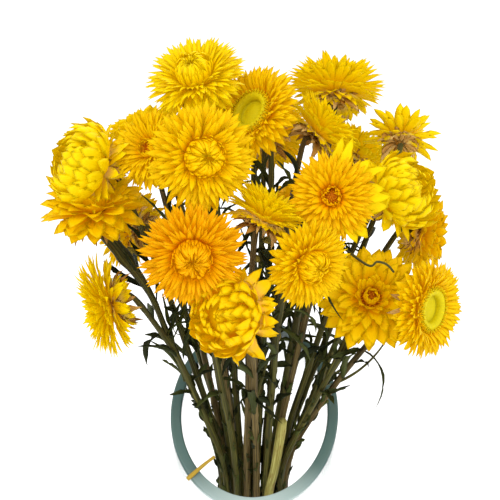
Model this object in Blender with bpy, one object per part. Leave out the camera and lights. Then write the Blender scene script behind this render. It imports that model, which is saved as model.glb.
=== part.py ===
"""A bunch of dried strawflowers standing in a glass vase that is cut at a slant.

Every flower head is a solid of its own on its own stem. The stems stand on the vase's floor,
are gathered at a waist just under the rim and fan out to the heads. Metres, +Z up, origin at
the centre of the vase's base, the low side of the slanted rim towards -Y.
"""

import math

import bmesh
import bpy
import numpy as np
from mathutils import Vector

MM = 0.001

# Vase: a slightly tapered cylinder with a thick floor.
RIM_RADIUS = 45 * MM
RIM_HEIGHT = 190 * MM
WALL = 5.8 * MM
TAPER = 0.06
FLOOR = 12 * MM
EDGE = 1.0 * MM
RIM_SLANT = math.radians(33.4)
RIM_TURN = math.radians(3.4)
VASE_SIDES = 48

# Stems, thick at the cut end and thin under the head.
STEM_FOOT_RADIUS = 2.2 * MM
STEM_NECK_RADIUS = 1.25 * MM
STEM_SIDES = 6
STEM_STATIONS = 12
STEM_CLEARANCE = 5.3 * MM
WAIST_HEIGHT = 168 * MM
WAIST_RADIUS = 18 * MM
LEVEL_STEP = 8 * MM
NECK_RUN = 13 * MM
GAP = 0.3 * MM

# Flower heads: rim points alternate between full radius and this share of it.
HEAD_SIDES = 16
NOTCH = 0.88

# Colours.
COLOURS = {
    "lemon": (0.90, 0.78, 0.10),
    "yellow": (0.95, 0.66, 0.02),
    "golden": (0.93, 0.50, 0.02),
    "orange": (0.90, 0.36, 0.02),
}
CLEAR_GLASS = (0.75, 0.86, 0.85)
DRIED_GREEN = (0.13, 0.13, 0.06)
LEAF_GREEN = (0.07, 0.09, 0.04)
STRIPPED = (0.42, 0.42, 0.16)
STRIPPED_STEMS = ("orange_heart", "front_right", "centre_fan")

# Leaves left on the outer stems.
LEAF_LENGTH = 30 * MM
LEAF_WIDTH = 5 * MM
LEAF_THICKNESS = 0.6 * MM
LEAF_STATIONS = 7

# Each form is the half outline of a head, from under the neck, over the rim, to the crown,
# as shares of the head's radius: (distance from the axis, height along it).
FORMS = {
    "open": [
        (0.13, -0.34), (0.34, -0.28), (0.66, -0.10), (1.0, 0.0),
        (0.96, 0.09), (0.6, 0.14), (0.36, 0.26), (0.16, 0.3),
    ],
    "cup": [
        (0.13, -0.34), (0.36, -0.3), (0.68, -0.14), (1.0, 0.02),
        (0.95, 0.12), (0.56, 0.18), (0.42, 0.42), (0.2, 0.46),
    ],
    "dome": [
        (0.13, -0.42), (0.5, -0.38), (0.82, -0.16), (1.0, 0.14),
        (0.92, 0.36), (0.72, 0.56), (0.42, 0.7), (0.16, 0.74),
    ],
    "button": [
        (0.13, -0.34), (0.34, -0.3), (0.66, -0.16), (1.0, -0.08),
        (0.96, 0.02), (0.58, 0.1), (0.46, 0.34), (0.2, 0.42),
    ],
    "reflexed": [
        (0.13, -0.38), (0.3, -0.36), (0.64, -0.3), (1.0, -0.2),
        (0.97, -0.1), (0.62, 0.08), (0.36, 0.2), (0.16, 0.24),
    ],
}

# name: (x, y, z of its middle in mm, azimuth and elevation faced in degrees, diameter in mm, form, colour).
# Azimuth 0 faces -Y and 90 faces +X; elevation 90 faces straight up.
FLOWERS = {
    "top_left": (-27, 5, 371, -25, 62, 43, "cup", "lemon"),
    "large_left": (-22, -48, 351, 18, 15, 46, "cup", "golden"),
    "green_button": (-2, -3, 357, -50, 38, 47, "button", "yellow"),
    "top_right": (41, 42, 357, 170, 52, 47, "reflexed", "yellow"),
    "far_right_small": (73, 28, 337, 165, 32, 37, "reflexed", "lemon"),
    "far_left_bud": (-77, -11, 334, -70, 28, 40, "dome", "yellow"),
    "left_back": (-55, 30, 336, -150, 45, 40, "reflexed", "lemon"),
    "left_orange": (-82, -19, 302, -55, -30, 41, "open", "golden"),
    "front_orange": (-26, -68, 315, 4, 4, 43, "cup", "orange"),
    "centre_fan": (5, -42, 323, 120, 62, 34, "open", "yellow"),
    "orange_heart": (33, -42, 331, -8, 24, 37, "cup", "orange"),
    "front_right": (23, -62, 308, 30, 4, 39, "cup", "yellow"),
    "right_scales": (70, -4, 318, 62, 32, 42, "dome", "yellow"),
    "right_low": (84, 8, 291, 100, -12, 37, "open", "yellow"),
    "right_underside": (58, -12, 264, 160, -25, 43, "reflexed", "golden"),
    "right_button": (80, -44, 277, 48, 10, 46, "button", "yellow"),
    "low_left": (-70, -36, 274, -72, -8, 46, "open", "yellow"),
    "low_front": (-13, -72, 283, -38, -18, 33, "dome", "yellow"),
    "upper_fan": (32, 14, 344, 110, 42, 37, "open", "yellow"),
    "left_behind": (-48, -14, 343, -35, 30, 36, "open", "golden"),
    "right_filler": (50, 2, 316, 80, 15, 30, "reflexed", "lemon"),
    "back_crown": (0, 42, 347, 178, 50, 42, "cup", "yellow"),
    "back_left": (-44, 58, 318, -145, 22, 44, "open", "golden"),
    "back_centre": (6, 74, 322, 178, 18, 45, "cup", "yellow"),
    "back_right": (54, 62, 312, 145, 16, 44, "button", "lemon"),
    "back_low_left": (-66, 42, 280, -125, -5, 42, "open", "yellow"),
    "back_low_right": (26, 72, 276, 165, -8, 40, "dome", "golden"),
}

# Outer stems that keep a leaf: (flower, height of the leaf's foot in mm, outward turn in degrees).
LEAVES = {
    "leaf_left": ("low_left", 222, -95),
    "leaf_front": ("low_front", 214, -10),
    "leaf_right": ("right_button", 226, 8),
    "leaf_back": ("back_low_right", 236, 170),
    "leaf_back_left": ("back_low_left", 234, -140),
}


def clear_scene():
    for thing in list(bpy.data.objects):
        bpy.data.objects.remove(thing)


def material(name, colour, roughness, alpha=1.0):
    made = bpy.data.materials.new(f"{name}_material")
    made.use_nodes = True
    shader = made.node_tree.nodes["Principled BSDF"]
    shader.inputs["Base Color"].default_value = (*colour, 1)
    shader.inputs["Roughness"].default_value = roughness
    shader.inputs["Metallic"].default_value = 0
    shader.inputs["Alpha"].default_value = alpha
    return made


def solid(name, points, faces, finish):
    """A closed mesh object whose faces are turned to point out."""
    mesh = bpy.data.meshes.new(name)
    shape = bmesh.new()
    corners = [shape.verts.new(p) for p in points]
    for face in faces:
        shape.faces.new([corners[i] for i in face])
    bmesh.ops.recalc_face_normals(shape, faces=shape.faces)
    shape.to_mesh(mesh)
    shape.free()
    mesh.materials.append(finish)
    mesh.shade_smooth()
    mesh.set_sharp_from_angle(angle=math.radians(40))
    made = bpy.data.objects.new(name, mesh)
    bpy.context.scene.collection.objects.link(made)
    return made


def rings_to_faces(count, sides):
    """Quads between neighbouring rings, and a fan from a middle point at each end.

    The first end's middle point follows the last ring, and the second end's follows that.
    """
    faces = []
    for k in range(count - 1):
        for i in range(sides):
            a, b = k * sides + i, k * sides + (i + 1) % sides
            faces.append((a, b, b + sides, a + sides))
    first, last = count * sides, count * sides + 1
    for i in range(sides):
        j = (i + 1) % sides
        faces.append((first, j, i))
        faces.append((last, (count - 1) * sides + i, (count - 1) * sides + j))
    return faces


def vase_radius(z):
    """Outer radius at height z."""
    return RIM_RADIUS - TAPER * (RIM_HEIGHT - z)


def rim_height(x, y):
    """Height of the slanted cut over a point of the plan."""
    slope = math.tan(RIM_SLANT)
    return RIM_HEIGHT + slope * (y * math.cos(RIM_TURN) + x * math.sin(RIM_TURN))


def vase_ring(inset, drop=None, z=None):
    """One ring of the wall: at height z, or drop below the slanted rim; inset from the outer wall."""
    points = []
    for i in range(VASE_SIDES):
        turn = 2 * math.pi * i / VASE_SIDES
        radius = vase_radius(RIM_HEIGHT if z is None else z) - inset
        if z is None:
            # The rim's height sets the radius, so a few rounds settle both.
            for _ in range(4):
                height = rim_height(radius * math.cos(turn), radius * math.sin(turn)) - drop
                radius = vase_radius(height) - inset
        else:
            height = z
        points.append((radius * math.cos(turn), radius * math.sin(turn), height))
    return points


def build_vase():
    rings = [
        vase_ring(EDGE * 2, z=0),
        vase_ring(0, z=EDGE * 2),
        vase_ring(0, drop=EDGE),
        vase_ring(EDGE, drop=0),
        vase_ring(WALL - EDGE, drop=0),
        vase_ring(WALL, drop=EDGE),
        vase_ring(WALL, z=FLOOR + EDGE * 3),
        vase_ring(WALL + EDGE * 3, z=FLOOR),
    ]
    points = [p for ring in rings for p in ring]
    points += [(0, 0, 0), (0, 0, FLOOR)]
    solid("vase", points, rings_to_faces(len(rings), VASE_SIDES), material("vase", CLEAR_GLASS, 0.04, 0.35))


def facing(azimuth, elevation):
    a, e = math.radians(azimuth), math.radians(elevation)
    return Vector((math.sin(a) * math.cos(e), -math.cos(a) * math.cos(e), math.sin(e)))


def build_head(flower):
    """A head turned about its own Z, with a notched rim like the tips of its bracts."""
    outline = flower.outline
    widest = max(r for r, h in outline)
    points = []
    for r, h in outline:
        for i in range(HEAD_SIDES):
            angle = 2 * math.pi * i / HEAD_SIDES
            notch = NOTCH if i % 2 and r > 0.9 * widest else 1
            out = r * notch
            points.append(Vector((math.cos(angle) * out, math.sin(angle) * out, h)) * flower.radius)
    for r, h in (outline[0], outline[-1]):
        points.append(Vector((0, 0, h)) * flower.radius)
    name = f"head_{flower.name}"
    finish = material(name, COLOURS[flower.colour], 0.6)
    head = solid(name, points, rings_to_faces(len(outline), HEAD_SIDES), finish)
    head.location = flower.place
    head.rotation_mode = "QUATERNION"
    head.rotation_quaternion = flower.axis.to_track_quat("Z", "Y")


class Flower:
    """One entry of FLOWERS, in metres, with the point where its stem meets it."""

    def __init__(self, name, entry):
        x, y, z, azimuth, elevation, diameter, form, colour = entry
        self.name = name
        self.colour = colour
        self.place = Vector((x, y, z)) * MM
        self.axis = facing(azimuth, elevation)
        self.radius = diameter / 2 * MM
        self.outline = FORMS[form]
        self.neck = self.place + self.axis * (self.outline[0][1] * self.radius - GAP * 1.5)
        self.approach = self.neck - self.axis * NECK_RUN


def stem_lines(flowers):
    """Each stem's way up, as points at common heights that keep clear of the other stems and heads.

    A stem starts straight between its place at the waist and its approach to the head. Rounds of
    pushing apart and smoothing then settle all of them together.
    """
    count = len(flowers)
    foot = FLOOR + 2 * GAP
    levels = np.arange(foot, max(f.approach.z for f in flowers), LEVEL_STEP)
    ends = np.array([tuple(f.approach) for f in flowers])
    spread = np.abs(ends[:, :2]).max(axis=0)
    waist = ends[:, :2] / spread * WAIST_RADIUS * 0.8
    rise = np.clip((levels[None] - WAIST_HEIGHT) / (ends[:, 2:] - WAIST_HEIGHT), 0, 1)
    lines = waist[:, None] + rise[..., None] ** 1.2 * (ends[:, :2] - waist)[:, None]
    own = levels[None] < ends[:, 2:] - NECK_RUN * 0.6
    centres = np.array([tuple(f.place + f.axis * f.radius * 0.1) for f in flowers])
    axes = np.array([tuple(f.axis) for f in flowers])
    across = np.array([f.radius for f in flowers]) + 3 * MM
    along = np.array([f.radius * 0.42 for f in flowers]) + 4 * MM
    wall = np.array([vase_radius(z) - WALL for z in levels]) - STEM_FOOT_RADIUS - 1.2 * MM
    in_vase = levels < RIM_HEIGHT + 18 * MM
    for _ in range(260):
        # Push neighbouring stems apart at each height.
        offset = lines[:, None] - lines[None]
        distance = np.linalg.norm(offset, axis=3) + 1e-9
        both = own[:, None] & own[None] & ~np.eye(count, dtype=bool)[..., None]
        short = np.where(both, np.clip(STEM_CLEARANCE - distance, 0, None), 0)
        lines += 0.45 * (offset / distance[..., None] * short[..., None]).sum(axis=1)
        # Push stems out of the other heads, each taken as a flattened ball.
        at = np.dstack([lines, np.broadcast_to(levels, lines.shape[:2])])
        away = at[:, None] - centres[None, :, None]
        height = (away * axes[None, :, None]).sum(axis=3, keepdims=True)
        sideways = away - height * axes[None, :, None]
        stretch = across[None, :, None, None]
        flat = along[None, :, None, None]
        depth = np.sqrt((sideways**2).sum(axis=3, keepdims=True) / stretch**2 + height**2 / flat**2)
        inside = (depth < 1) & own[:, None, :, None] & ~np.eye(count, dtype=bool)[..., None, None]
        slope = sideways / stretch**2 + height * axes[None, :, None] / flat**2
        flatwise = slope[..., :2]
        size = np.linalg.norm(flatwise, axis=3, keepdims=True) + 1e-9
        push = np.where(inside, flatwise / size * (1 - depth) * along[None, :, None, None], 0)
        lines += push.sum(axis=1)
        # Smooth along the stem, and stay inside the bundle and the vase.
        bend = np.zeros_like(lines)
        bend[:, 1:-1] = lines[:, :-2] + lines[:, 2:] - 2 * lines[:, 1:-1]
        lines += 0.3 * np.where(own[..., None], bend, 0)
        radius = np.linalg.norm(lines, axis=2)
        bundle = np.where(levels < WAIST_HEIGHT, WAIST_RADIUS, 1)
        limit = np.where(in_vase, np.minimum(wall, bundle + np.clip(levels - WAIST_HEIGHT, 0, None)), 1)
        lines *= np.minimum(1, limit[None] / np.maximum(radius, 1e-9))[..., None]
        # The part above a stem's own approach leads straight to it.
        for s in range(count):
            top = int(own[s].sum())
            lines[s, top:] = ends[s, :2]
    return [np.column_stack([lines[s], levels])[own[s]] for s in range(count)]


def smooth_stations(points, count):
    """A Catmull-Rom curve through the points, cut into equal lengths."""
    points = np.asarray(points)
    padded = np.vstack([2 * points[0] - points[1], points, 2 * points[-1] - points[-2]])
    t = np.linspace(0, 1, 9)[:-1, None]
    parts = []
    for a, b, c, d in zip(padded, padded[1:], padded[2:], padded[3:]):
        square, cube = 2 * a - 5 * b + 4 * c - d, 3 * b - a - 3 * c + d
        parts.append(0.5 * (2 * b + (c - a) * t + square * t**2 + cube * t**3))
    fine = np.vstack([*parts, points[-1:]])
    run = np.concatenate([[0], np.cumsum(np.linalg.norm(np.diff(fine, axis=0), axis=1))])
    return np.column_stack([np.interp(np.linspace(0, run[-1], count), run, fine[:, k]) for k in range(3)])


def build_stem(flower, line):
    """A tapered tube along a curve, from the vase's floor to the head's underside."""
    thinned = line[:: max(1, len(line) // 9)]
    stations = smooth_stations(np.vstack([thinned, flower.approach, flower.neck]), STEM_STATIONS)
    # The last stretch is square to the head.
    stations[-2] = flower.neck - flower.axis * NECK_RUN / 2
    name = f"stem_{flower.name}"
    curve = bpy.data.curves.new(name, "CURVE")
    curve.dimensions = "3D"
    curve.bevel_depth = STEM_FOOT_RADIUS
    curve.bevel_resolution = 1
    curve.use_fill_caps = True
    spline = curve.splines.new("POLY")
    spline.points.add(STEM_STATIONS - 1)
    for k, (point, here) in enumerate(zip(spline.points, stations)):
        point.co = (*here, 1)
        point.radius = 1 + (STEM_NECK_RADIUS / STEM_FOOT_RADIUS - 1) * k / (STEM_STATIONS - 1)
        spline.use_smooth = True
    curve.materials.append(material(name, STRIPPED if flower.name in STRIPPED_STEMS else DRIED_GREEN, 0.7))
    stem = bpy.data.objects.new(name, curve)
    bpy.context.scene.collection.objects.link(stem)
    return stations


def build_leaf(name, stations, height, turn):
    """A narrow curling blade that leaves its stem upwards and outwards."""
    rising = stations[: int(stations[:, 2].argmax()) + 1]
    foot = np.array([np.interp(height, rising[:, 2], rising[:, k]) for k in range(3)])
    out = Vector((math.sin(math.radians(turn)), -math.cos(math.radians(turn)), 0))
    side = out.cross(Vector((0, 0, 1)))
    start = Vector(foot) + out * (STEM_FOOT_RADIUS + GAP)
    points = []
    for k in range(LEAF_STATIONS):
        share = k / (LEAF_STATIONS - 1)
        lift = math.radians(80 - 48 * share)
        if k:
            ahead = out * math.cos(lift) + Vector((0, 0, math.sin(lift)))
            start = start + ahead * LEAF_LENGTH / (LEAF_STATIONS - 1)
        half = LEAF_WIDTH / 2 * (0.25 + 0.75 * math.sin(math.pi * (0.12 + 0.8 * share)))
        over = (Vector((0, 0, math.cos(lift))) - out * math.sin(lift)) * LEAF_THICKNESS / 2
        points += [start + side * half, start + over, start - side * half, start - over]
    first, last = Vector(), Vector()
    for p in points[:4]:
        first += p / 4
    for p in points[-4:]:
        last += p / 4
    points += [first, last]
    solid(name, points, rings_to_faces(LEAF_STATIONS, 4), material(name, LEAF_GREEN, 0.75))


def main():
    clear_scene()
    build_vase()
    flowers = [Flower(name, entry) for name, entry in FLOWERS.items()]
    stations = {}
    for flower, line in zip(flowers, stem_lines(flowers)):
        build_head(flower)
        stations[flower.name] = build_stem(flower, line)
    for name, (flower, height, turn) in LEAVES.items():
        build_leaf(name, stations[flower], height * MM, turn)


main()
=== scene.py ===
# %% [markdown]
# # A bunch of dried strawflowers in a slant-cut vase
# The real thing is a bunch of dried strawflowers standing in a thick clear glass whose rim is cut
# at a slant. Each head is a crowd of papery bracts round a small bud or disc, each stem is a dry
# ridged stalk with a few shrivelled leaves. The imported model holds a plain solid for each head,
# stem and leaf. This lesson dresses every one of them with the real surface, in the same place.

import math

import bpy
import numpy as np
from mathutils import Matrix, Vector


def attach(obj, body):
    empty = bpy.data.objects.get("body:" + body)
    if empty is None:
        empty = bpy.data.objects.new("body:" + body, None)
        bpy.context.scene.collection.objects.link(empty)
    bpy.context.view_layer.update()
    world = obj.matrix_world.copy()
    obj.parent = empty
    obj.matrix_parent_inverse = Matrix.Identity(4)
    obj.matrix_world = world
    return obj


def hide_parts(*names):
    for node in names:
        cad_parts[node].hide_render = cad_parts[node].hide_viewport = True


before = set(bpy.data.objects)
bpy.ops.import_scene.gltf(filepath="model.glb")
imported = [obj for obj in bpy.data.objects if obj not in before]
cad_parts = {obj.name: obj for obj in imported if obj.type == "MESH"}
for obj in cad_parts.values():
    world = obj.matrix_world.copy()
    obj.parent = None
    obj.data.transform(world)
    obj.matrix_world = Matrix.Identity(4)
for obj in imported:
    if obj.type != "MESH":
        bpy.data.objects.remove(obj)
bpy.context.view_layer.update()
MM = 0.001
print("nodes in the frame:", len(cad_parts))

# %% [markdown]
# ## One mesh from many small closed shapes
# A head has a few hundred bracts, and they are one piece. The shapes could be joined with
# operators, but it is quicker to keep their points and faces as arrays and to fill one mesh at
# the end. Every point also carries four marks for its material: how far along its shape it is,
# how far out its layer is, a chance number that its whole shape shares, and where it is across.

# %% Collect shapes and fill a mesh


class Bundle:
    """Points, faces and marks of closed shapes that end up in one mesh."""

    def __init__(self):
        self.points, self.marks, self.faces, self.finishes, self.count = [], [], [], [], 0

    def add(self, points, faces, marks, finish=0):
        """points (n, 3), faces a list of (f, corners) index arrays, marks (n, 4)."""
        for block in faces:
            self.faces.append(block + self.count)
            self.finishes.append(np.full(len(block), finish))
        self.points.append(points)
        self.marks.append(marks)
        self.count += len(points)

    def piece(self, name, finishes, place=None):
        """The object, with its points moved by place (a 3 x 3 turn and a shift) if given."""
        points = np.concatenate(self.points)
        if place is not None:
            points = points @ place[0].T + place[1]
        corners = np.concatenate([block.ravel() for block in self.faces])
        sizes = np.concatenate([np.full(len(block), block.shape[1]) for block in self.faces])
        mesh = bpy.data.meshes.new(name)
        mesh.vertices.add(len(points))
        mesh.vertices.foreach_set("co", points.astype(np.float32).ravel())
        mesh.loops.add(len(corners))
        mesh.loops.foreach_set("vertex_index", corners.astype(np.int32))
        mesh.polygons.add(len(sizes))
        mesh.polygons.foreach_set("loop_start", (np.cumsum(sizes) - sizes).astype(np.int32))
        mesh.polygons.foreach_set("material_index", np.concatenate(self.finishes).astype(np.int32))
        mesh.update(calc_edges=True)
        marks = mesh.attributes.new("marks", "FLOAT_COLOR", "POINT")
        marks.data.foreach_set("color", np.concatenate(self.marks).astype(np.float32).ravel())
        mesh.shade_smooth()
        for finish in finishes:
            mesh.materials.append(finish)
        made = bpy.data.objects.new(name, mesh)
        bpy.context.scene.collection.objects.link(made)
        return made


# %% [markdown]
# ## Shader maths in Python
# Materials need arithmetic on masks. Adding Math nodes by hand hides the formula, so a small class
# wraps a socket and lets Python's own operators add them, and one method adds any other node.

# %% Wrap sockets and nodes


class Value:
    """An output socket. Arithmetic on it adds the Math node that does the same."""

    def __init__(self, finish, socket):
        self.finish, self.socket = finish, socket


for word, operation in (("add", "ADD"), ("sub", "SUBTRACT"), ("mul", "MULTIPLY")):
    # The second form of each is the reflected one, so that 1 - mask works too.
    setattr(Value, f"__{word}__", lambda self, other, op=operation: self.finish.math(op, self, other))
    setattr(Value, f"__r{word}__", lambda self, other, op=operation: self.finish.math(op, other, self))


class Finish:
    """A material built on the Principled shader, one node at a time."""

    def __init__(self, name, **constants):
        self.material = bpy.data.materials.new(name)
        self.material.use_nodes = True
        self.tree = self.material.node_tree
        self.shader = self.tree.nodes["Principled BSDF"]
        for socket, value in constants.items():
            self.shader.inputs[socket.replace("_", " ")].default_value = value

    def add(self, kind, settings=None, inputs=None, output=0):
        node = self.tree.nodes.new(kind)
        for key, value in (settings or {}).items():
            setattr(node, key, value)
        for key, value in (inputs or {}).items():
            self.feed(node.inputs[key], value)
        return Value(self, node.outputs[output])

    def feed(self, socket, value):
        if isinstance(value, Value):
            self.tree.links.new(value.socket, socket)
        elif np.shape(value) == (3,) and socket.type == "RGBA":
            socket.default_value = (*value, 1)
        else:
            socket.default_value = value

    def math(self, operation, *values):
        return self.add("ShaderNodeMath", {"operation": operation}, dict(enumerate(values)))

    def step(self, value, low, high):
        """0 below low, 1 above high, smooth between."""
        settings = {"interpolation_type": "SMOOTHSTEP"}
        return self.add("ShaderNodeMapRange", settings, {0: value, 1: low, 2: high})

    def mix(self, share, a, b):
        return self.add("ShaderNodeMix", {"data_type": "RGBA"}, {0: share, 6: a, 7: b}, output=2)

    def noise(self, x, y, z, scale, detail):
        vector = self.add("ShaderNodeCombineXYZ", None, {0: x, 1: y, 2: z})
        return self.add("ShaderNodeTexNoise", None, {"Vector": vector, "Scale": scale, "Detail": detail})

    def marks(self):
        """Along, layer, chance and across, as the mesh carries them."""
        node = self.tree.nodes.new("ShaderNodeAttribute")
        node.attribute_name = "marks"
        split = self.tree.nodes.new("ShaderNodeSeparateColor")
        self.tree.links.new(node.outputs["Color"], split.inputs[0])
        return [Value(self, s) for s in (*split.outputs, node.outputs["Alpha"])]

    def bump(self, height, strength, distance):
        settings = {"Height": height, "Strength": strength, "Distance": distance}
        self.feed(self.shader.inputs["Normal"], self.add("ShaderNodeBump", None, settings))


# %% [markdown]
# ## Papery bracts
# A bract is a dry, satin scale with fine lengthwise veins. It is deeper orange at the foot, clear
# yellow towards the tip, and the outermost ones have faded to straw. The colour follows the marks,
# and thin streaks across the sheet make the veins, so no two bracts match. Light passes through
# such thin sheets, and a weak painted glow in the bract's own colour stands in for that and lifts
# their shaded parts.

# %% Finishes of the bracts
# Painted light: how strongly the bracts glow in their own colour, which brightens their shade.
PAINTED_GLOW = 0.22


def bract_finish(name, tip, foot, heart, faded):
    """tip and foot colour a middle bract, heart the innermost ones and faded the lowest."""
    made = Finish(f"bracts_{name}", Specular_IOR_Level=0.06, Emission_Strength=PAINTED_GLOW)
    along, layer, chance, across = made.marks()
    streak = made.noise(across * 5 + chance * 91, along * 0.9, chance * 37, 1.6, 3)
    middle = made.mix(made.step(along + (streak - 0.5) * 0.4, 0.05, 0.65), foot, tip)
    inner = made.mix(made.step(along, 0.3, 0.95), heart, tip)
    colour = made.mix(made.step(layer, 0.02, 0.3), inner, middle)
    old = made.step(layer + (chance - 0.5) * 0.25 - along * 0.12, 0.68, 0.9)
    colour = made.mix(old, colour, made.mix(made.step(along, 0.1, 0.8), faded, tip))
    dark = made.add("ShaderNodeHueSaturation", None, {"Value": 0.88, "Color": colour})
    colour = made.mix(made.step(streak, 0.52, 0.3) * 0.5, colour, dark)
    light = made.add("ShaderNodeHueSaturation", None, {"Value": 1.05, "Color": colour})
    colour = made.mix(made.step(chance, 0.75, 1.0) * 0.5, colour, light)
    made.feed(made.shader.inputs["Base Color"], colour)
    # The painted glow takes the bract's own colour.
    made.feed(made.shader.inputs["Emission Color"], colour)
    made.feed(made.shader.inputs["Roughness"], 0.42 + streak * 0.2)
    made.bump(streak, 0.2, 0.0003)
    return made.material


# tip, foot, heart, faded
BRACT_COLOURS = {
    "lemon": [(0.75, 0.53, 0.0), (0.73, 0.41, 0.0), (0.72, 0.46, 0.0), (0.80, 0.60, 0.22)],
    "yellow": [(0.74, 0.46, 0.0), (0.72, 0.31, 0.0), (0.72, 0.41, 0.0), (0.80, 0.56, 0.22)],
    "golden": [(0.74, 0.42, 0.0), (0.71, 0.24, 0.0), (0.71, 0.33, 0.0), (0.76, 0.46, 0.13)],
    "orange": [(0.73, 0.35, 0.0), (0.69, 0.18, 0.0), (0.72, 0.36, 0.0), (0.74, 0.40, 0.12)],
}
HUES = {name: bract_finish(name, *colours) for name, colours in BRACT_COLOURS.items()}
print("bract finishes:", ", ".join(HUES))

# %% [markdown]
# ## Scales, discs and florets
# Below the bracts sit short straw-brown scales. In the middle of an open head is a disc of fine
# florets, golden in most heads and olive green in the young ones.

# %% Finishes of scales and discs


def plain_finish(name, low, high, roughness, bump=0.4, grain=3.0):
    """A dry surface that wanders between two colours, along and across each shape."""
    made = Finish(name, Specular_IOR_Level=0.15)
    along, layer, chance, across = made.marks()
    streak = made.noise(across * grain + chance * 61, along * 2, chance * 17 + layer * 5, 1.5, 4)
    colour = made.mix(made.step(streak * 0.6 + chance * 0.4, 0.25, 0.75), low, high)
    made.feed(made.shader.inputs["Base Color"], colour)
    made.feed(made.shader.inputs["Roughness"], roughness - 0.1 + streak * 0.25)
    made.bump(streak, bump, 0.0005)
    return made.material


SCALE = plain_finish("straw_scales", (0.42, 0.19, 0.02), (0.74, 0.50, 0.17), 0.6)
FLORET = {
    "gold": plain_finish("golden_florets", (0.70, 0.22, 0.0), (0.90, 0.46, 0.0), 0.6),
    "green": plain_finish("green_florets", (0.60, 0.49, 0.0), (0.88, 0.70, 0.0), 0.6),
}
print("floret finishes:", ", ".join(FLORET), "and one for scales")

# %% [markdown]
# ## Dry stalks and leaves
# The stalks dried to dark olive and brown, and one that was stripped stayed pale yellow green.
# Their leaves shrivelled to narrow dark green twists.

# %% Finishes of stalks and leaves


def stalk_finish(name, shade, light, patches):
    """Streaks that run a long way up the stalk, with broad patches of another colour."""
    made = Finish(name, Specular_IOR_Level=0.2)
    along, _, chance, across = made.marks()
    streak = made.noise(across * 7 + chance * 43, along * 9, chance * 29, 1.0, 4)
    patch = made.noise(across * 1.5 + chance * 11, along * 30, chance * 7, 1.0, 2)
    colour = made.mix(made.step(streak, 0.35, 0.68), shade, light)
    colour = made.mix(made.step(patch, 0.5, 0.75) * 0.6, colour, patches)
    made.feed(made.shader.inputs["Base Color"], colour)
    made.feed(made.shader.inputs["Roughness"], 0.5 + streak * 0.25)
    made.bump(streak, 0.6, 0.0006)
    return made.material


# shade, light, patches
STALK_COLOURS = {
    "olive": [(0.020, 0.021, 0.003), (0.130, 0.120, 0.022), (0.07, 0.04, 0.008)],
    "brown": [(0.040, 0.027, 0.006), (0.190, 0.135, 0.042), (0.06, 0.035, 0.008)],
    "pale": [(0.22, 0.19, 0.035), (0.50, 0.46, 0.14), (0.20, 0.12, 0.02)],
}
STALK = {name: stalk_finish(f"stalk_{name}", *colours) for name, colours in STALK_COLOURS.items()}
LEAF = plain_finish("dried_leaf", (0.007, 0.010, 0.002), (0.062, 0.075, 0.012), 0.65, 0.6, 6.0)
print("stalk finishes:", ", ".join(STALK), "and one for leaves")

# %% [markdown]
# ## The shape of a thin sheet
# Bracts, scales and leaves are all thin sheets that start somewhere, bend one way and end in a
# point. One function makes a whole layer of them. The front and the back share their edge points,
# so every sheet is a closed lens and not a bare plane.

# %% Make a layer of sheets


def unit(vectors):
    """The same directions with length one."""
    return vectors / np.linalg.norm(vectors, axis=-1, keepdims=True)


def spokes(angle):
    """Level directions at the given angles, and as many that point up."""
    out = np.column_stack([np.cos(angle), np.sin(angle), np.zeros(len(angle))])
    return out, np.broadcast_to([0.0, 0.0, 1.0], out.shape)


def sheet_faces(rows, cols):
    """Quads of the front, and of the back, whose inner points are numbered after the front's."""
    front = np.arange(rows * cols).reshape(rows, cols)
    back = front.copy()
    back[1:-1, 1:-1] = rows * cols + np.arange((rows - 2) * (cols - 2)).reshape(rows - 2, cols - 2)
    quads = [
        np.stack([g[:-1, :-1], g[1:, :-1], g[1:, 1:], g[:-1, 1:]], axis=2).reshape(-1, 4)
        for g in (front, back)
    ]
    return np.concatenate([quads[0], quads[1][:, ::-1]])


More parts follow.
